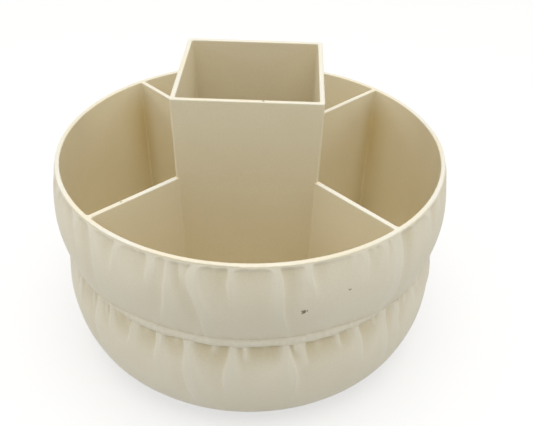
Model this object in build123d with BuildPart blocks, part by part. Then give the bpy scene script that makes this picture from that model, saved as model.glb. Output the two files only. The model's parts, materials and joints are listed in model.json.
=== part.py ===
from build123d import *
import os
from math import cos, pi, radians, sin, sqrt

os.makedirs("parts", exist_ok=True)

# A round desk organizer that turns on a ball-race turntable.
# Millimetres, +Z up. The origin is on the table under the middle of the tub, and the sides of the
# square cup lie along X and Y.

# Liner: rim band, inner wall, floor, four dividers and the square cup, in one moulding
rim_radius = 70.7  # inner wall at the rim
wall_narrowing = 3.0  # of the inner wall's radius, from the rim to the floor
compartment_depth = 63.0  # floor to rim
liner_wall = 0.75
floor_thickness = 2.0
floor_bevel = 1.5  # outside, where the wall meets the floor
rim_band_height = 0.7
rim_band_overhang = 0.05  # past the skin below it
rim_band_rounding = 0.4
divider_thickness = 1.85
pocket_corner_radius = 0.9
cup_half_width = 25.6  # outside, at the top
cup_rise = 30.9  # above the rim
cup_wall = 1.7
cup_corner_radius = 0.8
cup_draft_share = 0.019  # narrowing of each side for its height
edge_rounding = 0.4  # of the upper edges
boss_radius = 3.2
boss_gap = 0.3  # from the tip of a boss to the turntable plate

# Shell: the skin that looks like gathered cloth, in two tiers with a bead at the waist
liner_gap = 0.2
skin_wall = 0.75  # where the skin is thinnest, at the rim and the waist
upper_tier_height = 31.6
upper_bulge = 2.8
upper_fall_power = 3
bead_height = 3.2
bead_step = 0.15  # above the skin at the bead's edges
bead_crown = 0.3  # from the bead's edges to its middle
lower_bulge = 2.0
swell_share = 0.31  # of the lower tier's height, down to its widest place
bowl_power = 2.2
inner_bulge_share = 0.6  # how much of the bulges the inside of the skin follows
foot_ring_land = 1.4  # outside the recess wall
foot_ring_thickness = 1.8
table_gap = 2.0  # from the table to the lower edge of the shell
recess_inset = 15.7  # from the inner wall at the floor
recess_wall = 1.6
web_thickness = 2.0
web_hole_gap = 5.0  # from the flange of the bush
standoff_height = 4.0
standoff_wall = 1.5
boss_clearance = 0.3

# Folds of the skin: narrow ridges with slack cloth drawn in between them. Their places round the tub
# are shares of a turn from +X.
fold_depth = 0.42  # of the slack cloth, at the rim band and the bead
fold_fade_share = 0.7  # how much shallower it is halfway down the upper tier
fold_thin_power = 2.0  # how fast it runs out on the lower tier
fold_mean_share = 0.8
fold_spread_share = 0.2
fold_spread_turn = 2.4  # radians from one fold to the next in the depth pattern
ridge_turn_shares = (
    0.016, 0.047, 0.075, 0.114, 0.144, 0.183, 0.214, 0.250, 0.281, 0.319,
    0.353, 0.383, 0.422, 0.453, 0.489, 0.522, 0.556, 0.589, 0.627, 0.661,
    0.686, 0.718, 0.745, 0.779, 0.800, 0.842, 0.873, 0.914, 0.942, 0.980,
)
upper_section_shares = (0, 0.12, 0.3, 0.5, 0.7, 0.88, 1)
swell_section_shares = (0, 0.2, 0.5, 1)
bowl_section_shares = (0.3, 0.55, 0.75, 0.88, 0.96, 1)
skin_point_shares = (0, 0.15, 0.35, 0.5, 0.65, 0.85, 1)

# Turntable: balls in a cage between two plates
ball_diameter = 5.0
ball_count = 12
ball_circle_inset = 10.0  # from the screw circle
ball_clearance = 0.08
race_depth = 1.4
upper_plate_thickness = 3.0
upper_plate_gap = 6.0  # from its edge to the recess
base_plate_thickness = 3.0
base_plate_gap = 3.0  # from its edge to the recess
plate_edge_rounding = 0.6
cage_thickness = 1.2
cage_land = 1.2  # outside the balls
cage_clearance = 0.12

# Screws that clamp the plate, the shell and the liner together
screw_count = 4
screw_circle_inset = 6.0  # from the edge of the upper plate
screw_radius = 1.45
screw_head_radius = 2.8
screw_length = 8.0
head_clearance = 0.1  # below the face of the plate
screw_slot_width = 0.8
screw_slot_depth = 1.0
thread_clearance = 0.03
shank_clearance = 0.15
pilot_spare = 0.4
access_clearance = 0.8

# Pivot
pin_radius = 4.0
pin_clearance = 0.05
pin_tip = 1.2
pin_shoulder = 1.0  # the pin's radius past its spigot
pin_head_flare = 1.6
seat_clearance = 0.02
bush_wall = 1.0
bush_flange_width = 2.0
bush_flange_thickness = 0.8
axial_play = 0.1
washer_thickness = 0.6
washer_clearance = 0.1
washer_width = 2.6
clip_thickness = 0.6
clip_width = 2.8
clip_opening = 4.4
groove_depth = 0.6

# Feet
foot_count = 4
foot_radius = 6.0
foot_inset = 1.0  # from the edge of the base plate
foot_drop = 1.5  # below the base plate
foot_pocket_depth = 1.0
foot_clearance = 0.1
foot_rounding = 0.5

# One overrun serves all cuts
overrun = 1.0

# Radii that follow from one another, from the inner wall to the pin
floor_radius = rim_radius - wall_narrowing
recess_radius = floor_radius - recess_inset
foot_ring_radius = recess_radius + recess_wall + foot_ring_land
base_plate_radius = recess_radius - base_plate_gap
foot_circle_radius = base_plate_radius - foot_inset - foot_radius
upper_plate_radius = recess_radius - upper_plate_gap
screw_circle_radius = upper_plate_radius - screw_circle_inset
ball_circle_radius = screw_circle_radius - ball_circle_inset
spigot_radius = pin_radius - pin_shoulder
pin_head_radius = spigot_radius + pin_head_flare
bush_radius = pin_radius + pin_clearance + bush_wall
bush_flange_radius = bush_radius + bush_flange_width
web_hole_radius = bush_flange_radius + web_hole_gap

# Heights, from the table up
base_bottom = foot_drop
base_top = base_bottom + base_plate_thickness
ball_radius = ball_diameter / 2
race_radius = ball_radius + ball_clearance
ball_height = base_top - race_depth + race_radius
plate_bottom = ball_height + race_radius - race_depth
plate_top = plate_bottom + upper_plate_thickness
web_bottom = plate_top + standoff_height
floor_bottom = web_bottom + web_thickness
floor_top = floor_bottom + floor_thickness
bevel_top = floor_bottom + floor_bevel
rim_height = floor_top + compartment_depth
band_bottom = rim_height - rim_band_height
bead_top = band_bottom - upper_tier_height
bead_bottom = bead_top - bead_height
cup_top = rim_height + cup_rise


def wall_radius(height):
    """Inner radius of the liner's wall."""
    return floor_radius + (rim_radius - floor_radius) * (height - floor_top) / compartment_depth


def skin_inner_radius(height):
    """Radius that leaves the liner room inside the shell."""
    return wall_radius(height) + liner_wall + liner_gap


def cup_half(height):
    """Half the outer width of the cup."""
    return cup_half_width - cup_draft_share * (cup_top - height)


skin_top_radius = skin_inner_radius(band_bottom) + skin_wall
waist_radius = skin_inner_radius(bead_top) + skin_wall
rim_band_radius = skin_top_radius + rim_band_overhang
lower_tier_height = bead_bottom - table_gap
widest_height = bead_bottom - swell_share * lower_tier_height
bowl_height = widest_height - table_gap


def upper_radius(share, top, waist, bulge):
    """Skin radius on the upper tier, share 0 under the rim band and 1 at the bead."""
    return top + (waist - top) * share**upper_fall_power + bulge * sin(pi * share)


def swell_radius(share, waist, bulge):
    """Skin radius from the bead, share 0, down to the widest place, share 1."""
    return waist + bulge * sin(pi / 2 * share)


def bowl_radius(share, widest, foot):
    """Skin radius from the widest place, share 0, down to the foot ring, share 1."""
    return foot + (widest - foot) * (1 - share**bowl_power) ** (1 / bowl_power)


def fold_line(radius, depth):
    """Closed outline of the skin: one slack arc from each ridge to the next."""
    angles = [360 * share for share in ridge_turn_shares]
    for index, (angle, next_angle) in enumerate(zip(angles, angles[1:] + angles[:1])):
        slack = depth * (fold_mean_share + fold_spread_share * cos(fold_spread_turn * index))
        middle = angle + (next_angle - angle) % 360 / 2
        ThreePointArc(polar(radius, angle), polar(radius - slack, middle), polar(radius, next_angle))


def polar(radius, angle):
    """Point at an angle in degrees."""
    return (radius * cos(radians(angle)), radius * sin(radians(angle)))


# Compartment liner: a tapered tub with a rim band, hollowed by four pockets and the cup
with BuildPart() as compartment_liner:
    with BuildSketch(Plane.XZ):
        with BuildLine():
            Polyline(
                (0, floor_bottom),
                (wall_radius(floor_bottom) + liner_wall - floor_bevel, floor_bottom),
                (wall_radius(bevel_top) + liner_wall, bevel_top),
                (wall_radius(band_bottom) + liner_wall, band_bottom),
                (rim_band_radius, band_bottom),
                (rim_band_radius, rim_height),
                (0, rim_height),
                close=True,
            )
        make_face()
    revolve(axis=Axis.Z)
    band_edge = compartment_liner.edges().filter_by(GeomType.CIRCLE).sort_by(Axis.Z)[-1]
    fillet(band_edge, rim_band_rounding)
    divider_offset = divider_thickness / sqrt(2)
    for quarter in range(4):
        for height in (floor_top, rim_height + overrun):
            radius = wall_radius(height)
            inner_x = cup_half(height)
            inner_y = inner_x - divider_offset
            outer_x = (divider_offset + sqrt(2 * radius**2 - divider_offset**2)) / 2
            outer_y = outer_x - divider_offset
            with BuildSketch(Plane.XY.offset(height).rotated((0, 0, 90 * quarter))) as pocket:
                with BuildLine():
                    Polyline(
                        (outer_x, outer_y),
                        (inner_x, inner_y),
                        (inner_x, -inner_y),
                        (outer_x, -outer_y),
                    )
                    ThreePointArc((outer_x, -outer_y), (radius, 0), (outer_x, outer_y))
                make_face()
                wall_corners = pocket.vertices().group_by(Axis.X)[-1]
                fillet(wall_corners, pocket_corner_radius)
        loft(mode=Mode.SUBTRACT)
    for height in (band_bottom, cup_top):
        with BuildSketch(Plane.XY.offset(height)):
            RectangleRounded(2 * cup_half(height), 2 * cup_half(height), cup_corner_radius)
    loft()
    for height in (floor_top, cup_top + overrun):
        with BuildSketch(Plane.XY.offset(height)):
            inside = 2 * (cup_half(height) - cup_wall)
            RectangleRounded(inside, inside, cup_corner_radius)
    loft(mode=Mode.SUBTRACT)
    fillet(compartment_liner.edges().group_by(Axis.Z)[-1], edge_rounding)
    rim_edges = compartment_liner.edges().filter_by_position(
        Axis.Z, rim_height - edge_rounding / 2, rim_height + edge_rounding / 2
    )
    pocket_edges = rim_edges.filter_by(GeomType.CIRCLE, reverse=True)
    fillet(pocket_edges.filter_by(lambda edge: edge.length > 2 * divider_thickness), edge_rounding)
    with BuildSketch(Plane.XY.offset(plate_top + boss_gap)):
        with PolarLocations(screw_circle_radius, screw_count):
            Circle(boss_radius)
    extrude(until=Until.NEXT)
    with BuildSketch(Plane.XY.offset(plate_top)):
        with PolarLocations(screw_circle_radius, screw_count):
            Circle(screw_radius + thread_clearance)
    pilot_end = plate_bottom + head_clearance + screw_length + pilot_spare
    extrude(amount=pilot_end - plate_top, mode=Mode.SUBTRACT)
compartment_liner.part.label = "compartment_liner"
export_step(compartment_liner.part, "parts/compartment_liner.step")

# Pleated shell: two lofted tiers and a bead, hollowed for the liner and the turntable
with BuildPart() as pleated_shell:
    for share in upper_section_shares:
        radius = upper_radius(share, skin_top_radius, waist_radius, upper_bulge)
        depth = fold_depth * (1 - fold_fade_share * sin(pi * share))
        with BuildSketch(Plane.XY.offset(band_bottom - upper_tier_height * share)):
            with BuildLine():
                fold_line(radius, depth)
            make_face()
    loft()
    widest_radius = waist_radius + lower_bulge
    for share in swell_section_shares:
        radius = swell_radius(share, waist_radius, lower_bulge)
        depth = fold_depth * (1 - share * swell_share) ** fold_thin_power
        height = bead_bottom + (widest_height - bead_bottom) * share
        with BuildSketch(Plane.XY.offset(height)):
            with BuildLine():
                fold_line(radius, depth)
            make_face()
    for share in bowl_section_shares:
        radius = bowl_radius(share, widest_radius, foot_ring_radius)
        depth = fold_depth * ((1 - share) * (1 - swell_share)) ** fold_thin_power
        with BuildSketch(Plane.XY.offset(widest_height - bowl_height * share)):
            with BuildLine():
                fold_line(radius, depth)
            make_face()
    loft()
    bead_radius = waist_radius + bead_step
    with BuildSketch(Plane.XZ):
        with BuildLine():
            Polyline((bead_radius, bead_bottom), (0, bead_bottom), (0, bead_top), (bead_radius, bead_top))
            ThreePointArc(
                (bead_radius, bead_top),
                (bead_radius + bead_crown, (bead_top + bead_bottom) / 2),
                (bead_radius, bead_bottom),
            )
        make_face()
    revolve(axis=Axis.Z)
    # the hollow for the liner, with the channel outside the recess
    channel_bottom = table_gap + foot_ring_thickness
    channel_radius = recess_radius + recess_wall
    inner_top = skin_inner_radius(band_bottom)
    inner_waist = skin_inner_radius(bead_top)
    inner_widest = inner_waist + lower_bulge * inner_bulge_share
    upper_points = []
    swell_points = []
    bowl_points = []
    for share in skin_point_shares:
        bulge = upper_bulge * inner_bulge_share
        radius = upper_radius(share, inner_top, inner_waist, bulge)
        upper_points.append((radius, band_bottom - upper_tier_height * share))
        radius = swell_radius(share, inner_waist, lower_bulge * inner_bulge_share)
        swell_points.append((radius, bead_bottom + (widest_height - bead_bottom) * share))
        radius = bowl_radius(share, inner_widest, channel_radius)
        bowl_points.append((radius, widest_height - (widest_height - channel_bottom) * share))
    with BuildSketch(Plane.XZ):
        with BuildLine():
            Spline(*upper_points)
            Line((inner_waist, bead_top), (inner_waist, bead_bottom))
            Spline(*swell_points)
            Spline(*bowl_points)
            Polyline(
                (channel_radius, channel_bottom),
                (channel_radius, floor_bottom),
                (0, floor_bottom),
                (0, band_bottom),
                (inner_top, band_bottom),
            )
        make_face()
    revolve(axis=Axis.Z, mode=Mode.SUBTRACT)
    with BuildSketch(Plane.XY.offset(table_gap)):
        Circle(recess_radius)
    extrude(amount=web_bottom - table_gap, mode=Mode.SUBTRACT)
    with BuildSketch(Plane.XY.offset(plate_top)):
        with PolarLocations(screw_circle_radius, screw_count):
            Circle(boss_radius + boss_clearance + standoff_wall)
    extrude(amount=standoff_height + web_thickness)
    with BuildSketch(Plane.XY.offset(plate_top)):
        Circle(web_hole_radius)
        with PolarLocations(screw_circle_radius, screw_count):
            Circle(boss_radius + boss_clearance)
    extrude(amount=floor_bottom - plate_top, mode=Mode.SUBTRACT)
pleated_shell.part.label = "pleated_shell"
export_step(pleated_shell.part, "parts/pleated_shell.step")

# Upper plate: the turntable plate under the tub, with the upper race
plate_underside = Plane((0, 0, plate_bottom), x_dir=(1, 0, 0), z_dir=(0, 0, -1))
with BuildPart() as upper_plate:
    with BuildSketch(Plane.XY.offset(plate_bottom)):
        Circle(upper_plate_radius)
        Circle(bush_radius + seat_clearance, mode=Mode.SUBTRACT)
    extrude(amount=upper_plate_thickness)
    rim_edges = upper_plate.edges().filter_by(GeomType.CIRCLE).sort_by(SortBy.RADIUS)[-2:]
    fillet(rim_edges, plate_edge_rounding)
    with Locations((0, 0, ball_height)):
        Torus(ball_circle_radius, race_radius, mode=Mode.SUBTRACT)
    with Locations(plate_underside):
        with PolarLocations(screw_circle_radius, screw_count):
            CounterSinkHole(
                screw_radius + shank_clearance,
                screw_head_radius + shank_clearance + head_clearance,
                counter_sink_angle=90,
            )
upper_plate.part.label = "upper_plate"
export_step(upper_plate.part, "parts/upper_plate.step")

# Plate screws: countersunk, driven from below
screw_start = plate_bottom + head_clearance
head_height = screw_head_radius - screw_radius
with BuildPart() as plate_screws:
    for index in range(screw_count):
        centre = polar(screw_circle_radius, 360 / screw_count * index)
        axis_plane = Plane((*centre, screw_start), x_dir=(1, 0, 0), z_dir=(0, -1, 0))
        with BuildSketch(axis_plane):
            with BuildLine():
                Polyline(
                    (0, 0),
                    (screw_head_radius, 0),
                    (screw_radius, head_height),
                    (screw_radius, screw_length - screw_radius),
                    (0, screw_length),
                    close=True,
                )
            make_face()
        revolve(axis=Axis(axis_plane.origin, (0, 0, 1)))
    with BuildSketch(Plane.XY.offset(screw_start)):
        with PolarLocations(screw_circle_radius, screw_count):
            Rectangle(2 * screw_radius, screw_slot_width)
            Rectangle(screw_slot_width, 2 * screw_radius)
    extrude(amount=screw_slot_depth, mode=Mode.SUBTRACT)
plate_screws.part.label = "plate_screws"
export_step(plate_screws.part, "parts/plate_screws.step")

# Base plate: stands on the feet and holds the lower race and the pin
base_underside = Plane((0, 0, base_bottom), x_dir=(1, 0, 0), z_dir=(0, 0, -1))
with BuildPart() as base_plate:
    with BuildSketch(Plane.XY.offset(base_bottom)):
        Circle(base_plate_radius)
    extrude(amount=base_plate_thickness)
    fillet(base_plate.edges(), plate_edge_rounding)
    with Locations((0, 0, ball_height)):
        Torus(ball_circle_radius, race_radius, mode=Mode.SUBTRACT)
    with Locations(base_underside):
        CounterSinkHole(
            spigot_radius + seat_clearance,
            pin_head_radius + seat_clearance,
            counter_sink_angle=90,
        )
        with Locations((screw_circle_radius, 0)):
            Hole(screw_head_radius + access_clearance)
    with BuildSketch(Plane.XY.offset(base_bottom)):
        with PolarLocations(foot_circle_radius, foot_count, start_angle=180 / foot_count):
            Circle(foot_radius + foot_clearance)
    extrude(amount=foot_pocket_depth, mode=Mode.SUBTRACT)
base_plate.part.label = "base_plate"
export_step(base_plate.part, "parts/base_plate.step")

# Rubber feet: pads in the pockets of the base plate
for index in range(foot_count):
    centre = polar(foot_circle_radius, 360 / foot_count * (index + 1 / 2))
    with BuildPart() as rubber_foot:
        with BuildSketch(Plane((*centre, 0))):
            Circle(foot_radius)
        extrude(amount=foot_drop + foot_pocket_depth)
        fillet(rubber_foot.edges().group_by(Axis.Z)[0], foot_rounding)
    rubber_foot.part.label = f"rubber_foot_{index + 1}"
    export_step(rubber_foot.part, f"parts/rubber_foot_{index + 1}.step")

# Balls, and the cage that keeps them apart
for index in range(ball_count):
    centre = polar(ball_circle_radius, 360 / ball_count * index)
    with BuildPart() as ball:
        with Locations((*centre, ball_height)):
            Sphere(ball_radius)
    ball.part.label = f"ball_{index + 1:02d}"
    export_step(ball.part, f"parts/ball_{index + 1:02d}.step")

cage_hole_radius = ball_radius + cage_clearance
cage_half_width = cage_hole_radius + cage_land
with BuildPart() as ball_cage:
    with BuildSketch(Plane.XY.offset(ball_height - cage_thickness / 2)):
        Circle(ball_circle_radius + cage_half_width)
        Circle(ball_circle_radius - cage_half_width, mode=Mode.SUBTRACT)
        with PolarLocations(ball_circle_radius, ball_count):
            Circle(cage_hole_radius, mode=Mode.SUBTRACT)
    extrude(amount=cage_thickness)
ball_cage.part.label = "ball_cage"
export_step(ball_cage.part, "parts/ball_cage.step")

# Pivot bush: pressed into the upper plate, running on the pin
bush_flange_top = plate_top + bush_flange_thickness
with BuildPart() as pivot_bush:
    with BuildSketch(Plane.XY.offset(plate_bottom)):
        Circle(bush_radius)
    extrude(amount=upper_plate_thickness)
    with BuildSketch(Plane.XY.offset(plate_top)):
        Circle(bush_flange_radius)
    extrude(amount=bush_flange_thickness)
    with BuildSketch(Plane.XY.offset(plate_bottom)):
        Circle(pin_radius + pin_clearance)
    extrude(amount=bush_flange_top - plate_bottom, mode=Mode.SUBTRACT)
pivot_bush.part.label = "pivot_bush"
export_step(pivot_bush.part, "parts/pivot_bush.step")

# Thrust washer: lies on the bush, under the clip
washer_bottom = bush_flange_top + axial_play
washer_top = washer_bottom + washer_thickness
with BuildPart() as thrust_washer:
    with BuildSketch(Plane.XY.offset(washer_bottom)):
        Circle(pin_radius + washer_clearance + washer_width)
        Circle(pin_radius + washer_clearance, mode=Mode.SUBTRACT)
    extrude(amount=washer_thickness)
thrust_washer.part.label = "thrust_washer"
export_step(thrust_washer.part, "parts/thrust_washer.step")

# Pivot pin: riveted into the base plate, with a groove for the clip near its top
groove_bottom = washer_top + axial_play
groove_top = groove_bottom + clip_thickness + axial_play
groove_radius = pin_radius - groove_depth
with BuildPart() as pivot_pin:
    with BuildSketch(Plane.XZ):
        with BuildLine():
            Polyline(
                (0, base_bottom),
                (pin_head_radius, base_bottom),
                (spigot_radius, base_bottom + pin_head_flare),
                (spigot_radius, base_top),
                (pin_radius, base_top),
                (pin_radius, groove_bottom),
                (groove_radius, groove_bottom),
                (groove_radius, groove_top),
                (pin_radius, groove_top),
                (pin_radius, groove_top + pin_tip - groove_depth),
                (groove_radius, groove_top + pin_tip),
                (0, groove_top + pin_tip),
                close=True,
            )
        make_face()
    revolve(axis=Axis.Z)
pivot_pin.part.label = "pivot_pin"
export_step(pivot_pin.part, "parts/pivot_pin.step")

# Retaining clip: an open ring in the groove of the pin
clip_radius = groove_radius + seat_clearance
with BuildPart() as retaining_clip:
    with BuildSketch(Plane.XY.offset(groove_bottom + axial_play / 2)):
        Circle(clip_radius + clip_width)
        Circle(clip_radius, mode=Mode.SUBTRACT)
        with Locations((clip_radius + clip_width / 2, 0)):
            Rectangle(2 * clip_width, clip_opening, mode=Mode.SUBTRACT)
    extrude(amount=clip_thickness)
retaining_clip.part.label = "retaining_clip"
export_step(retaining_clip.part, "parts/retaining_clip.step")
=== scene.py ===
import json
import math
from functools import cached_property

import bpy
import numpy as np
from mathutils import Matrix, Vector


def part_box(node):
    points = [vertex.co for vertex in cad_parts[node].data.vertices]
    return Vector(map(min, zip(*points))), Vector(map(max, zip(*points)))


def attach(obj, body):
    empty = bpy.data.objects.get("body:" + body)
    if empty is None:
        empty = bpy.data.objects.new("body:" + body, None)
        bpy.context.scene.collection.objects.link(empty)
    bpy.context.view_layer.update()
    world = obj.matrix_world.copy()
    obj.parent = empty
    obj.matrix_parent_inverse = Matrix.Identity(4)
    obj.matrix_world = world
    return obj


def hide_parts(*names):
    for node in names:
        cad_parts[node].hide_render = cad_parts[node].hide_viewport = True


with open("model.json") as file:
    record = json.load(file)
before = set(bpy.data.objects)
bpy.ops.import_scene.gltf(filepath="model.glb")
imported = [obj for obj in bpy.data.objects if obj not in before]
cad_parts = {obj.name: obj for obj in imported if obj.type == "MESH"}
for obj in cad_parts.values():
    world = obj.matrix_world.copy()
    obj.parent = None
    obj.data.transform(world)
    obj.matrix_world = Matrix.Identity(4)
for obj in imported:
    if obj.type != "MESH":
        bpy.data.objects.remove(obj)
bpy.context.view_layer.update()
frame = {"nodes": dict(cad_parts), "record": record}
scene = bpy.context.scene
scene.view_settings.view_transform = "Standard"
print("frame loaded:", len(frame["nodes"]), "nodes")

mm = 0.001
rimTop = 80.86 * mm  # the tub's rim
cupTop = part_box("compartment_liner")[1].z


def tone(red, green, blue):
    # a colour as a screen shows it, 0 to 255, made linear
    share = np.array([red, green, blue]) / 255
    linear = np.where(share <= 0.04045, share / 12.92, ((share + 0.055) / 1.055) ** 2.4)
    return (*linear.tolist(), 1.0)


# Shading tools

class Wire:
    # a socket of a node; sums and products of wires add Math nodes
    def __init__(self, finish, socket):
        self.finish = finish
        self.socket = socket

    def math(self, operation, first, second=0.0):
        return self.finish.node("ShaderNodeMath", {"operation": operation}, {0: first, 1: second})

    def __add__(self, other):
        return self.math("ADD", self, other)

    def __radd__(self, other):
        return self.math("ADD", other, self)

    def __sub__(self, other):
        return self.math("SUBTRACT", self, other)

    def __rsub__(self, other):
        return self.math("SUBTRACT", other, self)

    def __mul__(self, other):
        return self.math("MULTIPLY", self, other)

    def __rmul__(self, other):
        return self.math("MULTIPLY", other, self)

    def __truediv__(self, other):
        return self.math("DIVIDE", self, other)

    def __rtruediv__(self, other):
        return self.math("DIVIDE", other, self)

    def most(self, other):
        return self.math("MAXIMUM", self, other)

    def size(self):
        return self.math("ABSOLUTE", self)


class Finish:
    # the nodes of a material or of the world, added one by one
    def __init__(self, owner):
        self.owner = owner
        owner.use_nodes = True
        self.tree = owner.node_tree
        self.tree.nodes.clear()

    def node(self, kind, settings, inputs, output=0):
        made = self.tree.nodes.new(kind)
        for key, value in settings.items():
            setattr(made, key, value)
        for key, value in inputs.items():
            if isinstance(value, Wire):
                self.tree.links.new(value.socket, made.inputs[key])
            else:
                made.inputs[key].default_value = value
        return Wire(self, made.outputs[output]) if made.outputs else made

    @cached_property
    def coords(self):
        return self.node("ShaderNodeTexCoord", {}, {}, "Object")

    def axis(self, letter):
        return self.node("ShaderNodeSeparateXYZ", {}, {"Vector": self.coords}, letter)

    def mark(self, name):
        # a value that the mesh holds for each point
        return self.node("ShaderNodeAttribute", {"attribute_name": name}, {}, "Fac")

    def noise(self, scale, detail=2.0, rough=0.5, at=None):
        return self.node("ShaderNodeTexNoise", {"noise_dimensions": "3D"}, {
            "Vector": at or self.coords, "Scale": scale, "Detail": detail, "Roughness": rough})

    def stretched(self, scale, turn=(0.0, 0.0, 0.0)):
        return self.node("ShaderNodeMapping", {}, {"Vector": self.coords, "Scale": scale, "Rotation": turn})

    def step(self, value, low, high):
        # smooth step, 0 at low and 1 at high
        return self.node("ShaderNodeMapRange", {"interpolation_type": "SMOOTHSTEP"}, {
            "Value": value, "From Min": low, "From Max": high})

    def mix(self, share, first, second):
        return self.node("ShaderNodeMix", {"data_type": "RGBA"}, {0: share, 6: first, 7: second}, 2)

    def vector(self, operation, first, second=(0.0, 0.0, 0.0), output=0):
        return self.node("ShaderNodeVectorMath", {"operation": operation}, {0: first, 1: second}, output)

    def near(self, place, reach, ragged, unrest=2.4, core=0.6):
        # 1 at a place on the surface, 0 outside a ragged patch of that reach
        away = self.vector("DISTANCE", self.coords, place, output=1)
        edge = away / reach + (self.noise(ragged, detail=3.0, rough=0.7) - 0.5) * unrest
        return 1 - self.step(edge, core, 1.0)

    def bump(self, height, strength, distance):
        return self.node("ShaderNodeBump", {}, {
            "Height": height, "Strength": strength, "Distance": distance})

    def surface(self, sockets):
        shader = self.node("ShaderNodeBsdfPrincipled", {}, sockets)
        self.node("ShaderNodeOutputMaterial", {}, {"Surface": shader})
        return self.owner


def edgeWearAndHighlight(finish, look):
    # the upper edges, paled by rubbing wear and by a painted highlight of the light from above: 1 along them,
    # a smooth step up to each height, none past it, and none nearer to the middle
    side = finish.axis("X").size().most(finish.axis("Y").size())
    rub = 0.0
    for height, inmost in look["rubs"]:
        reach = finish.step(finish.axis("Z"), height - look["rubReach"], height)
        past = finish.step(finish.axis("Z"), height + look["rubStop"], height + look["rubBlend"])
        rub = reach * (1 - past) * finish.step(side, inmost, inmost + look["rubBlend"]) + rub
    return rub


def cornerShade(finish, look):
    # painted shade in the upright corners of the compartments, where shade falls: 1 in the corners, falls
    # with the distance from the round wall and from the diagonal dividers, starts below the rim and is weaker
    # towards the floor
    out = finish.vector("LENGTH", finish.vector("MULTIPLY", finish.coords, (1.0, 1.0, 0.0)), output=1)
    height = finish.axis("Z")
    fromWall = (look["wallAxis"] + look["wallSlope"] * height - out).size()
    fromDivider = (finish.axis("X").size() - finish.axis("Y").size()).size()
    away = fromWall * look["wallShare"] + fromDivider * look["dividerShare"]
    corner = 1 - finish.step(away, 0.0, look["cornerReach"])
    deep = 1 - finish.step(height, rimTop - look["cornerFull"], rimTop - look["cornerStart"])
    higher = finish.step(height, rimTop - look["cornerWeak"], rimTop - look["cornerStrong"])
    return corner * corner * deep * (look["floorShare"] + (1 - look["floorShare"]) * higher)


def mouldedPlastic(name, look):
    # fine spark-eroded grain, slow changes of tone, faint drag marks, upper edges paled by rubbing wear and
    # by a painted highlight, painted shade with some dust in the folds, a painted highlight on their crests,
    # and painted shade in the corners
    finish = Finish(bpy.data.materials.new(name))
    cloud = finish.noise(look["cloudScale"], detail=3.0)
    grain = finish.noise(look["grainScale"], detail=3.0, rough=0.6)
    dragAlong = finish.stretched(look["dragScale"], look["dragTurn"])
    scuff = finish.step(finish.noise(1.0, detail=3.0, rough=0.6, at=dragAlong), *look["scuffSpan"])
    colour = finish.mix(finish.step(cloud, *look["cloudSpan"]), look["colour"], look["shade"])
    colour = finish.mix(finish.step(grain, *look["grainSpan"]) * look["grainTone"], colour, look["pit"])
    colour = finish.mix(scuff * look["scuffTone"], colour, look["paleWearAndHighlight"])
    # the upper edges paled by rubbing wear and by a painted highlight of the light from above, patchy with
    # the slow changes of tone
    if look["rubs"]:
        patchy = look["rubLeast"] + (1 - look["rubLeast"]) * finish.step(cloud, *look["rubSpan"])
        colour = finish.mix(edgeWearAndHighlight(finish, look) * patchy * look["edgeWearHighlightTone"], colour, look["paleWearAndHighlight"])
    # painted shade with some dust in the hollows of the folds, darker and yellower where the slack mark is
    # deep
    if look["dust"]:
        dusty = look["shadeDustLeast"] + (1 - look["shadeDustLeast"]) * grain
        colour = finish.mix(finish.mark("slack") * dusty * look["dust"], colour, look["dustColour"])
        # a painted highlight on the crests of the folds and along the bead
        colour = finish.mix(finish.mark("crest") * look["crestHighlightTone"], colour, look["paleWearAndHighlight"])
    # painted shade, warm and dark, in the upright corners of the compartments
    if look["cornerShadeTone"]:
        colour = finish.mix(cornerShade(finish, look) * look["cornerShadeTone"], colour, look["cornerShadeColour"])
    pits = 0.0
    for place, reach, dark in look["chips"]:
        chip = finish.near(place, reach, look["chipRagged"])
        colour = finish.mix(chip * dark, colour, look["dirt"])
        pits = chip + pits
    rough = look["rough"] + (cloud - 0.5) * look["cloudRough"] + (grain - 0.5) * look["grainRough"]
    rough = rough + scuff * look["scuffRough"]
    height = grain * look["grainDepth"] + finish.noise(look["waveScale"]) * look["waveDepth"]
    height = height - scuff * look["scuffDepth"] - pits * look["chipDepth"]
    normal = finish.bump(height, look["bump"], look["bumpReach"])
    return finish.surface({"Base Color": colour, "Roughness": rough, "Normal": normal, "IOR": look["ior"]})


def drawnSteel(name, look):
    # metal with fine machining lines along the stretched axis, soft stains and a few bright scratches
    finish = Finish(bpy.data.materials.new(name))
    lines = finish.noise(1.0, detail=4.0, rough=0.65, at=finish.stretched(look["lineScale"]))
    stain = finish.noise(look["stainScale"], detail=3.0)
    scratchAlong = finish.stretched(look["scratchScale"], look["scratchTurn"])
    scratch = finish.step(finish.noise(1.0, at=scratchAlong), *look["scratchSpan"])
    colour = finish.mix(finish.step(stain, *look["stainSpan"]), look["colour"], look["shade"])
    colour = finish.mix(finish.step(lines, *look["lineSpan"]) * look["lineTone"], colour, look["shade"])
    colour = finish.mix(scratch * look["scratchTone"], colour, look["bright"])
    rough = look["rough"] + (lines - 0.5) * look["lineRough"] + (stain - 0.5) * look["stainRough"]
    rough = rough + scratch * look["scratchRough"]
    normal = finish.bump(lines + scratch * look["scratchDepth"], look["bump"], look["bumpReach"])
    return finish.surface({"Base Color": colour, "Roughness": rough, "Normal": normal, "Metallic": 1.0})


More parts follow.
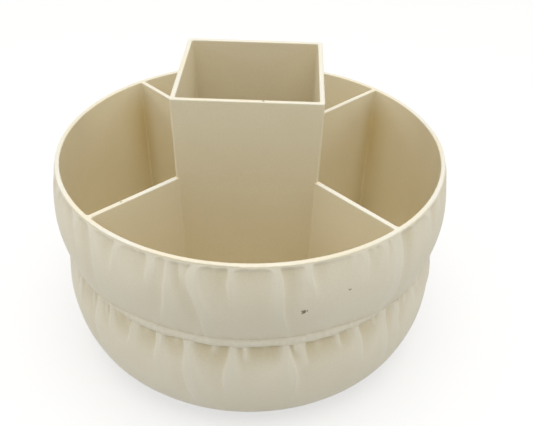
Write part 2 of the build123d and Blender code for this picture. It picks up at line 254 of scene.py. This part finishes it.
def softRubber(name, look):
    # dull black rubber with a moulded grain, grey dust and a rubbed standing face
    finish = Finish(bpy.data.materials.new(name))
    grain = finish.noise(look["grainScale"], detail=3.0, rough=0.6)
    dust = finish.noise(look["dustScale"], detail=4.0, rough=0.6)
    worn = 1 - finish.step(finish.axis("Z"), 0.0, look["wornHeight"])
    dusty = finish.step(dust, *look["dustSpan"]) * look["dustTone"]
    colour = finish.mix(dusty, look["colour"], look["dustColour"])
    colour = finish.mix(worn * (look["wornLeast"] + look["wornGrain"] * grain), colour, look["worn"])
    rough = look["rough"] + (grain - 0.5) * look["grainRough"] - worn * look["wornRough"]
    normal = finish.bump(grain, look["bump"], look["bumpReach"])
    return finish.surface({"Base Color": colour, "Roughness": rough, "Normal": normal})


# ivory plastic; the liner uses these colours as they are, yellower than the shell's: the same plastic with
# painted warm shade for the insides of the compartments
ivory = {
    "colour": tone(233, 223, 195), "shade": tone(230, 219, 190), "cloudScale": 26.0, "cloudSpan": (0.3, 0.7),
    "pit": tone(220, 208, 176), "grainScale": 1500.0, "grainSpan": (0.3, 0.75), "grainTone": 0.3,
    "dragScale": (60.0, 60.0, 900.0), "dragTurn": (0.0, 0.2, 0.0), "scuffSpan": (0.64, 0.74),
    # the pale colour of drag marks and rubbed edges, also used as a painted highlight on the upper edges and
    # on the crests of the folds
    "scuffTone": 0.12, "paleWearAndHighlight": tone(229, 227, 216), "rubs": (), "cornerShadeTone": 0.0, "dust": 0.0, "chips": (),
    "rough": 0.47, "cloudRough": 0.16, "grainRough": 0.12, "scuffRough": 0.07, "ior": 1.47,
    "grainDepth": 0.5, "waveScale": 330.0, "waveDepth": 0.9, "scuffDepth": 0.12, "chipDepth": 0.8,
    "bump": 0.35, "bumpReach": 0.12 * mm,
}
nicks = {"dirt": tone(96, 85, 62), "chipRagged": 1700.0}
linerLook = {
    **ivory, **nicks,
    "rubs": ((rimTop, 25.6 * mm), (cupTop, 0.0)),  # height of an edge, and how far out it starts
    "rubReach": 0.9 * mm, "rubStop": 0.1 * mm, "rubBlend": 0.3 * mm,
    "rubLeast": 0.35, "rubSpan": (0.35, 0.6), "edgeWearHighlightTone": 0.85,
    # painted shade in the upright corners of the compartments
    "cornerShadeTone": 0.75, "cornerShadeColour": tone(216, 196, 142), "cornerReach": 15 * mm,
    "wallAxis": 66.85 * mm, "wallSlope": 3.0 / 63.0, "wallShare": 1.3, "dividerShare": 0.5,
    "cornerStart": 1 * mm, "cornerFull": 16 * mm,  # depths below the rim
    "cornerStrong": 20 * mm, "cornerWeak": 50 * mm, "floorShare": 0.5,
    "chips": (
        ((5.3 * mm, -24.6 * mm, cupTop), 0.5 * mm, 0.7),  # nick on the cup's front edge
        ((-41.1 * mm, -41.1 * mm, rimTop), 0.5 * mm, 0.6),  # nick on a divider
    ),
}
shellLook = {
    **ivory, **nicks,
    # the same plastic as the liner, greyer and paler: painted light of the white room on the outside
    "colour": tone(232, 226, 207), "shade": tone(229, 222, 202), "pit": tone(219, 211, 189),
    # painted shade with some dust in the hollows of the folds, and a painted highlight on their crests
    "dust": 0.95, "shadeDustLeast": 0.55, "dustColour": tone(192, 175, 130), "crestHighlightTone": 0.2,
    "chips": (
        ((20.9 * mm, -71.7 * mm, 62.6 * mm), 1.0 * mm, 0.9),  # dark specks on the front
        ((22.0 * mm, -71.4 * mm, 62.8 * mm), 0.45 * mm, 0.8),
        ((35.5 * mm, -65.8 * mm, 67.5 * mm), 0.6 * mm, 0.9),
    ),
}
plateLook = {
    **ivory, "colour": tone(224, 215, 191), "shade": tone(217, 207, 181), "pit": tone(205, 194, 166),
    "dragScale": (500.0, 60.0, 60.0), "scuffTone": 0.3, "scuffRough": 0.12, "rough": 0.52,
}
cageLook = {
    **ivory, "colour": tone(214, 212, 203), "shade": tone(206, 203, 192), "pit": tone(190, 186, 174),
    "cloudScale": 90.0, "dragScale": (300.0, 300.0, 300.0), "rough": 0.4,
}
bushLook = {
    **ivory, "colour": tone(236, 236, 231), "shade": tone(228, 228, 222), "pit": tone(210, 210, 203),
    "cloudScale": 160.0, "dragScale": (120.0, 120.0, 2600.0), "rough": 0.32,
}
ballSteel = {
    "colour": tone(205, 206, 210), "shade": tone(184, 185, 190), "bright": tone(236, 236, 238),
    "stainScale": 260.0, "stainSpan": (0.35, 0.7),
    "lineScale": (900.0, 900.0, 900.0), "lineSpan": (0.35, 0.7), "lineTone": 0.35,
    "scratchScale": (400.0, 5200.0, 1200.0), "scratchTurn": (0.6, 0.3, 0.8), "scratchSpan": (0.67, 0.72),
    "scratchTone": 0.4, "scratchDepth": 0.4, "bump": 0.04, "bumpReach": 0.05 * mm,
    "rough": 0.13, "lineRough": 0.06, "stainRough": 0.12, "scratchRough": 0.08,
}
pinSteel = {
    **ballSteel, "colour": tone(172, 172, 174), "shade": tone(146, 146, 149),
    "lineScale": (90.0, 90.0, 9000.0), "lineRough": 0.22, "rough": 0.32, "bump": 0.25,
}
zincSteel = {
    **ballSteel, "colour": tone(190, 193, 196), "shade": tone(163, 167, 172),
    "lineScale": (1400.0, 1400.0, 1400.0), "lineRough": 0.2, "rough": 0.38, "bump": 0.2,
}
springSteel = {
    **ballSteel, "colour": tone(86, 86, 92), "shade": tone(60, 60, 66), "bright": tone(150, 150, 154),
    "lineScale": (2600.0, 180.0, 600.0), "lineRough": 0.2, "rough": 0.4, "bump": 0.2,
}
footRubber = {
    "colour": tone(38, 38, 38), "dustColour": tone(84, 82, 78), "dustScale": 240.0, "dustSpan": (0.45, 0.75),
    "dustTone": 0.5, "worn": tone(66, 65, 63), "wornHeight": 0.35 * mm, "wornLeast": 0.3, "wornGrain": 0.5,
    "rough": 0.78, "grainScale": 2200.0, "grainRough": 0.2, "wornRough": 0.12,
    "bump": 0.5, "bumpReach": 0.1 * mm,
}
finishes = {
    "shell_plastic": mouldedPlastic("ivoryPleats", shellLook),
    "liner_plastic": mouldedPlastic("ivoryLiner", linerLook),
    "plate_plastic": mouldedPlastic("ivoryPlates", plateLook),
    "cage_plastic": mouldedPlastic("paleNylon", cageLook),
    "bush_plastic": mouldedPlastic("whiteAcetal", bushLook),
    "ball_steel": drawnSteel("polishedBalls", ballSteel),
    "pin_steel": drawnSteel("turnedPin", pinSteel),
    "zinc_steel": drawnSteel("zincPlate", zincSteel),
    "spring_steel": drawnSteel("darkSpring", springSteel),
    "foot_rubber": softRubber("blackRubber", footRubber),
}
for entry in frame["record"]["subparts"]:
    node = frame["nodes"][entry["node"]]
    node.data.materials.clear()
    node.data.materials.append(finishes[entry["material_slot"]])
print("finishes made:", len(finishes))


# Mesh tools

def spaced(count):
    # shares from 0 to 1 down a column, by a half cosine, so that they lie closer together near both ends
    return (1 - np.cos(np.linspace(0, np.pi, count)))[:, None] / 2


def turned(radius, height, turn, centre=(0.0, 0.0)):
    # points at a radius and height, carried round an upright axis
    return np.stack([
        centre[0] + radius * np.cos(turn),
        centre[1] + radius * np.sin(turn),
        height + 0 * turn,
    ], axis=-1)


def ringQuads(rows, columns):
    # quads between neighbouring rows and columns, both wrapped round; on the outside the rows go down
    row, column = np.meshgrid(np.arange(rows), np.arange(columns), indexing="ij")
    under = (row + 1) % rows
    beside = (column + 1) % columns
    corners = [(row, column), (under, column), (under, beside), (row, beside)]
    return np.stack([one * columns + other for one, other in corners], axis=-1).reshape(-1, 4)


def ringPiece(name, grids, material, marks, sharpAngle=38):
    # one mesh from closed grids of points in millimetres; marks are values for its first points
    points = np.concatenate([grid.reshape(-1, 3) for grid in grids]) * mm
    quads = []
    start = 0
    for grid in grids:
        rows, columns = grid.shape[:2]
        quads.append(ringQuads(rows, columns) + start)
        start += rows * columns
    mesh = bpy.data.meshes.new(name)
    mesh.from_pydata(points.tolist(), [], np.concatenate(quads).tolist())
    for key, values in marks.items():
        filled = np.zeros(len(points), np.float32)
        filled[:values.size] = values.ravel()
        mesh.attributes.new(key, "FLOAT", "POINT").data.foreach_set("value", filled)
    mesh.shade_smooth()
    mesh.set_sharp_from_angle(angle=math.radians(sharpAngle))
    mesh.materials.append(material)
    piece = bpy.data.objects.new(name, mesh)
    scene.collection.objects.link(piece)
    return piece


# Pleated skin, in millimetres and degrees: two tiers that look like gathered cloth, with a bead between them

skin = {
    "topRadius": 72.45, "waistRadius": 70.86, "upperTier": 31.6, "bead": 3.2,
    "beadFull": 24.0, "beadEnd": 52.0, "beadLeast": 0.1,  # how far from the middle it shows, and what is left
    "beadWaves": ((17, 1.0, 0.1875), (31, 2.0, 0.15), (53, 0.0, 0.13125)),  # count, phase, height
    "wall": 0.8, "waistWall": 1.0, "innerBulge": 0.6, "innerRows": 6,
    "drawnReach": 40.0, "columns": 1500, "seed": 11,
}
picks = np.random.default_rng(skin["seed"])
shellBottom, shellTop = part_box("pleated_shell")
rim = rimTop / mm
bandBottom = shellTop.z / mm
tableGap = shellBottom.z / mm
band = rim - bandBottom
beadTop = bandBottom - skin["upperTier"]
beadBottom = beadTop - skin["bead"]
innerTop = skin["topRadius"] - skin["wall"]
innerWaist = skin["waistRadius"] - skin["waistWall"]
turn = np.linspace(-180, 180, skin["columns"], endpoint=False)[None, :]
around = np.radians(turn)
column = np.ones_like(turn)
# the gathers are strongest at the front and the back, as a bell over the turn, and weak at the sides
fromMiddle = np.abs(np.abs(turn) - 90)
drawn = np.exp(-((fromMiddle / skin["drawnReach"]) ** 2))
# the bead shows at the front and the back; by a smooth step the upper tier covers it at the sides
aside = np.clip((fromMiddle - skin["beadFull"]) / (skin["beadEnd"] - skin["beadFull"]), 0, 1)
shown = 1 - aside**2 * (3 - 2 * aside)
tierLength = skin["upperTier"] + skin["bead"] * (1 - skin["beadLeast"]) * (1 - shown)
# the lower edge of the bead rises and falls by a sum of sines
wave = sum(height * np.sin(count * around + phase) for count, phase, height in skin["beadWaves"])


# Folds, small puckers and lumps, which both tiers have

pleat = {
    "bend": 1.5, "sway": 0.7, "swayLength": 32.0, "swayTurn": 5.5, "widen": 0.7, "thin": 0.5,
    "lean": 0.62, "leanTurn": -91, "hollow": 0.5, "hollowFoot": 2.4, "hollowWidth": 1.8,
    "step": (6.0, 12.5), "gap": 5, "width": (1.2, 1.5),
    "long": {"reach": (0.65, 0.85), "drift": (-3.5, 3.5), "height": (0.8, 1.05)},
    "short": {"reach": (0.22, 0.38), "drift": (-1.5, 1.5), "height": (0.5, 0.8)},
    "puckerShift": (-2.2, 2.2), "puckerReach": (0.35, 1.0), "puckerHeight": (0.25, 1.0),
    "puckerDrift": (-1.5, 1.5), "puckerWidth": (0.6, 1.1), "puckerLean": (-0.5, 0.5),
    "crestFull": 0.5, "lumps": 0.12,
    # count, twist, phase and height of the waves that make the lumps
    "lumpWaves": ((9, 0.11, 0.0, 1.0), (14, -0.08, 1.3, 1.0), (23, 0.15, 4.0, 0.7)),
}


def allFolds(tier, start):
    # the folds of the front, which lean away from the middle, and more at uneven steps over the rest
    lean = pleat["lean"]
    made = [(*fold, lean if fold[0] < pleat["leanTurn"] else -lean) for fold in tier["folds"]]
    angle = tier["last"]
    while angle < tier["first"] + 360 - pleat["gap"]:
        angle += picks.uniform(*pleat["step"])
        kind = pleat["long"] if picks.random() < tier["longShare"] else pleat["short"]
        end = start + tier["length"] * picks.uniform(*kind["reach"])
        drift = picks.uniform(*kind["drift"])
        height = picks.uniform(*kind["height"])
        width = picks.uniform(*pleat["width"])
        made.append((angle, drift, 0.0, start, end, height, width, lean * picks.choice([-1, 1])))
    return made


def puckers(edge, count, reach, height, shift):
    # many small folds along a gathered edge; a negative reach runs upwards
    straight = np.zeros(count)
    starts = np.full(count, edge + shift)
    angles = np.linspace(0, 360, count, endpoint=False) + picks.uniform(*pleat["puckerShift"], count)
    ends = starts + reach * picks.uniform(*pleat["puckerReach"], count)
    tops = height * picks.uniform(*pleat["puckerHeight"], count)
    drifts = picks.uniform(*pleat["puckerDrift"], count)
    widths = picks.uniform(*pleat["puckerWidth"], count)
    leans = picks.uniform(*pleat["puckerLean"], count)
    return list(zip(angles, drifts, straight, starts, ends, tops, widths, leans))


def foldRelief(below, radius, folds):
    # sum of ridges: each follows a line that drifts, bends and sways round the tub on its way down, has a
    # bell-shaped section that widens and is steeper on one side, and fades out smoothly towards its end;
    # a wider bell along the foot of the steep side is the hollow that goes with it
    relief = np.zeros_like(below)
    hollow = np.zeros_like(below)
    for angle, drift, bend, start, end, height, width, lean in folds:
        along = np.clip((below - start) / (end - start), 0, 1)
        sway = pleat["sway"] * abs(end - start) / pleat["swayLength"]
        line = angle + drift * along
        line = line + pleat["bend"] * bend * np.sin(2 * np.pi * along) * (1 - along)
        line = line + sway * 4 * along * (1 - along) * np.sin(pleat["swayTurn"] * along + angle)
        across = np.radians(np.mod(turn - line + 180, 360) - 180) * radius
        spread = width * (1 + pleat["widen"] * along) * np.where(across > 0, 1 + lean, 1 - lean)
        fade = height * (1 - along**2) * (1 - pleat["thin"] * along)
        relief += fade * np.exp(-((across / spread) ** 2))
        fromFoot = across + np.sign(lean) * pleat["hollowFoot"] * width
        hollow += abs(lean) * fade * np.exp(-((fromFoot / (pleat["hollowWidth"] * width)) ** 2))
    return relief, pleat["hollow"] * hollow


def lumpiness(below):
    # slow swellings, from -1 to 1: a sum of sines round the tub whose phase shifts on the way down
    waves = pleat["lumpWaves"]
    total = sum(high * np.sin(count * around + twist * below + phase) for count, twist, phase, high in waves)
    return total / sum(row[-1] for row in waves)


def pulled(least, gain, power, ripple, count, phase):
    # how hard an edge is gathered: a least pull, more where it is drawn in, and a slow sine round the tub
    return least + gain * drawn**power + ripple * np.sin(np.radians(turn * count + phase))


# Upper tier

upper = {
    "fall": 3, "bulge": 2.35, "rows": 48,
    "rimSlack": 0.58, "rimFade": 9.0, "topRoll": 0.9, "waistSlack": 0.25, "waistFade": 1.6,
    # least pull, gain where it is drawn in, its power, ripple, ripples round the tub, their phase
    "pull": (0.48, 0.5, 2, 0.12, 7, 0),
    # dust: how strong the painted shade with some dust is in the hollows of the upper tier
    "proud": 0.12, "proudRise": 20, "swollen": 0.22, "dipFull": 0.8, "dust": 0.6,
    # count, reach and height of the puckers, and how far from the edge they start
    "rimPuckers": (46, 8.0, 0.5, 0.0), "waistPuckers": (70, -7.0, 0.3, 0.2),
    # the folds that show from the front: angle, drift and bend on the way down, start and end below the rim,
    # height, width
    "folds": (
        (-141.0, 3.0, 0.0, 0.0, 18.0, 0.45, 1.5), (-133.5, 4.8, 1.0, 0.0, 33.0, 0.85, 1.7),
        (-122.0, -2.5, 0.0, 0.0, 14.0, 0.8, 1.3), (-112.8, 0.4, 0.0, 0.0, 14.0, 0.85, 1.3),
        (-107.5, -2.5, 0.0, 8.0, 30.0, 0.5, 1.5), (-103.8, 0.4, 0.0, 0.0, 12.0, 0.7, 1.2),
        (-100.0, 2.2, -2.2, 0.0, 36.0, 1.25, 1.4), (-91.8, 0.3, 0.0, 0.0, 16.0, 0.85, 1.2),
        (-80.4, 3.6, 0.0, 0.0, 32.0, 1.1, 1.4), (-72.0, 0.8, 0.0, 0.0, 15.0, 0.9, 1.3),
        (-57.0, 0.5, 0.0, 0.0, 14.0, 0.6, 1.4), (-50.5, 0.3, 0.0, 0.0, 12.0, 0.8, 1.3),
        (-45.6, -2.6, 1.2, 0.0, 44.0, 1.6, 1.7), (-31.0, 0.4, 0.0, 0.0, 14.0, 0.8, 1.4),
        (-23.0, -0.5, 0.0, 0.0, 12.0, 0.6, 1.4),
    ),
    # the other folds: where those of the front begin and end, length of the tier, share of long ones
    "first": -140, "last": -18, "length": skin["upperTier"], "longShare": 0.36,
}


def falling(share, top, waist, bulge):
    # from the rim band in to the waist by a power, with the half sine of a bulge
    return top + (waist - top) * share ** upper["fall"] + bulge * np.sin(np.pi * share)


def upperSurface():
    # the falling radius less the slack, which fades down from the rim and up from the waist, with the folds
    # standing in it; also how deep each point is, for painted shade with some dust in the hollows, and how
    # proud, for a painted highlight on the crests
    share = spaced(upper["rows"])
    belly = np.sin(np.pi * share)
    below = band + tierLength * share
    base = falling(share, skin["topRadius"], skin["waistRadius"], upper["bulge"])
    folds = allFolds(upper, 0.0)
    folds += puckers(0.0, *upper["rimPuckers"])
    folds += puckers(rim - beadTop, *upper["waistPuckers"])
    ridge, hollow = foldRelief(below, base, folds)
    roll = 1 - np.exp(-(((below - band) / upper["topRoll"]) ** 2))
    slack = upper["rimSlack"] * np.exp(-(below - band) / upper["rimFade"])
    slack = slack * pulled(*upper["pull"]) * roll
    slack = slack + upper["waistSlack"] * np.exp(-(band + tierLength - below) / upper["waistFade"])
    proud = upper["proud"] * np.minimum(share * upper["proudRise"], 1) + upper["swollen"] * belly
    radius = base - slack - hollow * roll + np.minimum(ridge, slack + proud)
    radius = radius + pleat["lumps"] * lumpiness(below) * belly
    # how deep each point lies, for painted shade with some dust in the hollows
    dip = np.clip((base - radius) / upper["dipFull"], 0, 1) * upper["dust"]
    # how proud each ridge stands, for a painted highlight on the crests
    crest = np.clip((ridge - slack) / pleat["crestFull"], 0, 1)
    return radius, rim - below, dip, crest


# Lower tier; its pull, puckers, folds and other folds are listed in the same order as those of the upper tier

foldStart = 35.4  # below the rim, just above the lower edge of the bead
lower = {
    "bulge": 1.95, "swellShare": 0.31, "bowlPower": 2.2, "footRadius": 55.0, "footRing": 1.8,
    "recessRadius": 52.0, "recessWall": 1.6, "webBottom": 13.86, "web": 2.0, "webHole": 12.05,
    "standoffCircle": 40.0, "standoffBottom": 9.86, "standoffRadius": 5.0, "standoffHole": 3.5,
    "standoffTurns": (0, 90, 180, 270), "standoffSides": 48,
    "swellRows": 18, "bowlRows": 30, "innerBowlRows": 8,
    "slack": 0.88, "slackFade": 7.2, "pull": (0.28, 0.64, 1, 0.1, 5, 40),
    "proud": 0.35, "hollow": 0.45, "footFade": 14.0, "dipFull": 0.9,
    "lumpStart": 36.0, "lumpRise": 8.0, "lumpShift": 20.0,
    "puckers": (84, 9.0, 0.95, -0.5),
    "folds": (
        (-136.0, 0.6, 0.0, foldStart, 62.0, 1.15, 1.5), (-130.0, 0.4, 0.0, foldStart, 46.0, 0.95, 1.2),
        (-121.0, -2.0, 0.0, foldStart, 48.0, 0.95, 1.2), (-113.0, 0.3, 0.0, foldStart, 50.0, 1.0, 1.3),
        (-104.6, 2.6, 0.0, foldStart, 68.0, 1.25, 1.5), (-92.0, -1.2, 0.0, foldStart, 64.0, 1.2, 1.5),
        (-76.5, 2.6, 0.0, foldStart, 62.0, 1.15, 1.5), (-72.0, 0.4, 0.0, foldStart, 47.0, 0.95, 1.2),
        (-56.0, 2.2, 0.0, foldStart, 54.0, 1.0, 1.4), (-45.6, 0.4, 0.0, foldStart, 66.0, 1.15, 1.5),
        (-40.0, 0.5, 0.0, foldStart, 60.0, 0.95, 1.3), (-31.0, 0.5, 0.0, foldStart, 50.0, 0.9, 1.3),
    ),
    "first": -143, "last": -25, "length": 34.0, "longShare": 0.55,
}
widestHeight = beadBottom - lower["swellShare"] * (beadBottom - tableGap)
innerSwell = lower["bulge"] * skin["innerBulge"]


def swelling(share, waist, bulge):
    # above its widest place: a quarter sine outwards; its upper edge follows the wavy bead
    radius = (waist + bulge * np.sin(np.pi / 2 * share)) * column
    height = beadBottom + (widestHeight - beadBottom) * share + wave * (1 - share) ** 2
    return radius, height


def bowl(arc, widest, endRadius, endHeight):
    # below its widest place: a superellipse in to an end, as the arc goes from 0 to a quarter turn
    power = 2 / lower["bowlPower"]
    radius = (endRadius + (widest - endRadius) * np.cos(arc) ** power) * column
    height = (widestHeight - (widestHeight - endHeight) * np.sin(arc) ** power) * column
    return radius, height


def lowerSurface():
    # the swelling and the bowl less the slack, which fades down from the bead as a bell, with the folds
    # standing in it; also how deep and how proud each point is
    start = rim - beadBottom
    widest = skin["waistRadius"] + lower["bulge"]
    arc = np.linspace(0, np.pi / 2, lower["bowlRows"])[1:, None]
    swellRows = swelling(spaced(lower["swellRows"]), skin["waistRadius"], lower["bulge"])
    bowlRows = bowl(arc, widest, lower["footRadius"], tableGap)
    base, height = np.concatenate([swellRows, bowlRows], axis=1)
    below = rim - height
    folds = allFolds(lower, start)
    folds += puckers(start, *lower["puckers"])
    ridge, hollow = foldRelief(below, base, folds)
    edge = np.clip((height - tableGap) / lower["footFade"], 0, 1)
    depth = np.clip((below - start) / lower["slackFade"], 0, 1)
    slack = lower["slack"] * np.exp(-(((below - start) / lower["slackFade"]) ** 2))
    slack = slack * pulled(*lower["pull"])
    relief = np.minimum(ridge, slack + lower["proud"]) - lower["hollow"] * hollow * depth
    lumps = pleat["lumps"] * lumpiness(below + lower["lumpShift"])
    lumps = lumps * np.clip((below - lower["lumpStart"]) / lower["lumpRise"], 0, 1)
    radius = base - slack + (relief + lumps) * edge
    # how deep each point lies, for painted shade with some dust in the hollows, and how proud, for a painted
    # highlight on the crests
    dip = np.clip((base - radius) / lower["dipFull"], 0, 1)
    crest = np.clip((ridge - slack) / pleat["crestFull"], 0, 1) * edge
    return radius, height, dip, crest


# Bead at the waist

bead = {
    "crown": 0.42, "rise": 3, "lip": 0.15, "knots": 0.2, "rows": 9,
    "knotWaves": ((67, 2.0, 9), (101, 1.0, 14)),  # count, slip, count of the slip
}


def beadSurface(upperEnd, lowerStart, lowerDipShade):
    # a half sine with a lip at its lower edge and knots along it, a product of two sines that slip; at the
    # sides it runs flat from the upper tier into the lower one
    across = np.linspace(0, 1, bead["rows"])[1:, None]
    arch = np.sin(np.pi * across)
    waves = [np.sin(count * around + slip * np.sin(slow * around)) for count, slip, slow in bead["knotWaves"]]
    knots = math.prod(waves)
    crown = (bead["crown"] + bead["knots"] * knots) * arch + bead["lip"] * across**2
    full = upperEnd + (skin["waistRadius"] - upperEnd) * np.minimum(across * bead["rise"], 1) + crown
    flat = upperEnd + (lowerStart - upperEnd) * across
    radius = flat + (full - flat) * shown
    height = beadBottom + (bandBottom - tierLength - beadBottom) * (1 - across) + wave * across**2
    # marks: where the bead runs flat, the lower tier's depth for painted shade with some dust; along the
    # bead, its arch and knots for a painted highlight
    return radius, height, lowerDipShade * across * (1 - shown), arch * (1 + knots) * shown


upperRadius, upperHeight, upperDipShade, upperCrest = upperSurface()
lowerRadius, lowerHeight, lowerDipShade, lowerCrest = lowerSurface()
beadRadius, beadHeight, beadDipShade, beadCrest = beadSurface(upperRadius[-1:], lowerRadius[:1], lowerDipShade[:1])
print("skin worked out:", upperRadius.shape, lowerRadius.shape, beadRadius.shape)

# upper tier with the bead, closed by its inner wall
innerShare = spaced(skin["innerRows"])[::-1]
upperGrid = np.concatenate([
    turned(upperRadius, upperHeight, around),
    turned(beadRadius, beadHeight, around),
    turned(innerWaist, beadBottom + wave, around),
    turned(falling(innerShare, innerTop, innerWaist, upper["bulge"] * skin["innerBulge"]),
           bandBottom - skin["upperTier"] * innerShare, around),
])
# marks for the material: painted shade with some dust in the hollows, and a painted highlight on the crests
upperMarks = {
    "slack": np.concatenate([upperDipShade, beadDipShade]),
    "crest": np.concatenate([upperCrest, beadCrest]),
}
upperTier = ringPiece("upperTier", [upperGrid], finishes["shell_plastic"], upperMarks)
print("upper tier:", len(upperTier.data.polygons), "quads")

# lower tier, closed by the foot ring, the recess, the web and the inner wall; standoffs under the web
channelRadius = lower["recessRadius"] + lower["recessWall"]
channelBottom = tableGap + lower["footRing"]
webTop = lower["webBottom"] + lower["web"]
innerArc = np.linspace(np.pi / 2, 0, lower["innerBowlRows"])[:, None]
corners = np.array([
    (lower["recessRadius"], tableGap), (lower["recessRadius"], lower["webBottom"]),
    (lower["webHole"], lower["webBottom"]), (lower["webHole"], webTop), (channelRadius, webTop),
])
lowerGrid = np.concatenate([
    turned(lowerRadius, lowerHeight, around),
    turned(corners[:, :1], corners[:, 1:], around),
    turned(*bowl(innerArc, innerWaist + innerSwell, channelRadius, channelBottom), around),
    turned(*swelling(innerShare[1:], innerWaist, innerSwell), around),
])
tubeTurn = np.linspace(0, 2 * np.pi, lower["standoffSides"], endpoint=False)[None, :]
tube = np.array([
    (lower["standoffRadius"], webTop), (lower["standoffRadius"], lower["standoffBottom"]),
    (lower["standoffHole"], lower["standoffBottom"]), (lower["standoffHole"], webTop),
])
standoffs = []
for angle in np.radians(lower["standoffTurns"]):
    centre = lower["standoffCircle"] * np.array([np.cos(angle), np.sin(angle)])
    standoffs.append(turned(tube[:, :1], tube[:, 1:], tubeTurn, centre))
# the same marks for the lower tier: painted shade with some dust in the hollows, a painted highlight on the
# crests
lowerMarks = {"slack": lowerDipShade, "crest": lowerCrest}
lowerTier = ringPiece("lowerTier", [lowerGrid] + standoffs, finishes["shell_plastic"], lowerMarks)
print("lower tier:", len(lowerTier.data.polygons), "quads")

for piece in (upperTier, lowerTier):
    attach(piece, "tub")
    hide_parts("pleated_shell")


# Stage: a pale floor, soft light and the camera

stage = {
    "floor": tone(248, 248, 247), "floorShade": tone(244, 244, 243), "floorBounce": tone(196, 196, 194),
    "floorHalf": 3.0, "floorGrain": 60.0, "floorMottle": 0.25, "floorRough": 0.9,
    "white": tone(255, 255, 255), "glow": 0.62, "fadeStart": 0.35, "fadeEnd": 1.6,
    "ambient": tone(255, 254, 251), "ambientStrength": 0.53,
    "lampColour": (1.0, 0.99, 0.97), "lampAim": (0.0, 0.0, 0.06),
    "lamps": (
        # place, size, power
        ((0.03, -0.12, 1.25), 1.3, 11.0),
        ((-1.25, -0.1, 0.6), 0.7, 2.8),
        ((1.25, 0.0, 0.65), 0.7, 2.1),
    ),
    "cameraPlace": (0.014157, -0.246604, 0.225313), "cameraTurn": (54.473, -0.889, 2.455),
    "lens": 50.94, "sensor": 36, "clipStart": 0.01,
}


def paleFloor(look):
    # plain paint that keeps shadows, part glow where it is seen; far off it runs into the white room
    finish = Finish(bpy.data.materials.new("paleFloor"))
    seen = finish.node("ShaderNodeLightPath", {}, {}, "Is Camera Ray")
    mirrored = finish.node("ShaderNodeLightPath", {}, {}, "Is Glossy Ray")
    grain = finish.noise(look["floorGrain"], detail=3.0)
    colour = finish.mix(grain * look["floorMottle"], look["floor"], look["floorShade"])
    colour = finish.mix(seen, look["floorBounce"], colour)
    paint = finish.node("ShaderNodeBsdfPrincipled", {}, {
        "Base Color": colour, "Roughness": look["floorRough"]})
    glow = finish.node("ShaderNodeEmission", {}, {"Color": look["white"], "Strength": 1.0})
    far = finish.step(finish.vector("LENGTH", finish.coords, output=1), look["fadeStart"], look["fadeEnd"])
    share = seen.most(mirrored) * (look["glow"] + (1 - look["glow"]) * far)
    both = finish.node("ShaderNodeMixShader", {}, {0: share, 1: paint, 2: glow})
    finish.node("ShaderNodeOutputMaterial", {}, {"Surface": both})
    return finish.owner


def softRoom(look):
    # even light from all round; the camera sees white
    room = Finish(bpy.data.worlds.new("softRoom"))
    seen = room.node("ShaderNodeLightPath", {}, {}, "Is Camera Ray")
    light = room.node("ShaderNodeBackground", {}, {
        "Color": look["ambient"], "Strength": look["ambientStrength"]})
    white = room.node("ShaderNodeBackground", {}, {"Color": look["white"]})
    both = room.node("ShaderNodeMixShader", {}, {0: seen, 1: light, 2: white})
    room.node("ShaderNodeOutputWorld", {}, {"Surface": both})
    return room.owner


half = stage["floorHalf"]
floorCorners = [(-half, -half, 0), (half, -half, 0), (half, half, 0), (-half, half, 0)]
floorMesh = bpy.data.meshes.new("studioFloor")
floorMesh.from_pydata(floorCorners, [], [(0, 1, 2, 3)])
floorMesh.materials.append(paleFloor(stage))
studioFloor = bpy.data.objects.new("studioFloor", floorMesh)
scene.collection.objects.link(studioFloor)
scene.world = softRoom(stage)

for index, (place, size, power) in enumerate(stage["lamps"], 1):
    lampData = bpy.data.lights.new(f"softBox{index}", "AREA")
    lampData.shape = "DISK"
    lampData.size = size
    lampData.energy = power
    lampData.color = stage["lampColour"]
    lamp = bpy.data.objects.new(f"softBox{index}", lampData)
    lamp.location = place
    aim = np.array(stage["lampAim"]) - np.array(place)
    tilt = math.acos(-aim[2] / np.linalg.norm(aim))
    lamp.rotation_euler = (tilt, 0, math.atan2(aim[1], aim[0]) - math.pi / 2)
    scene.collection.objects.link(lamp)

cameraData = bpy.data.cameras.new("camera")
cameraData.sensor_width = stage["sensor"]
cameraData.lens = stage["lens"]
cameraData.clip_start = stage["clipStart"]
camera = bpy.data.objects.new("camera", cameraData)
camera.location = stage["cameraPlace"]
camera.rotation_euler = [math.radians(angle) for angle in stage["cameraTurn"]]
scene.collection.objects.link(camera)
scene.camera = camera
print("stage set")
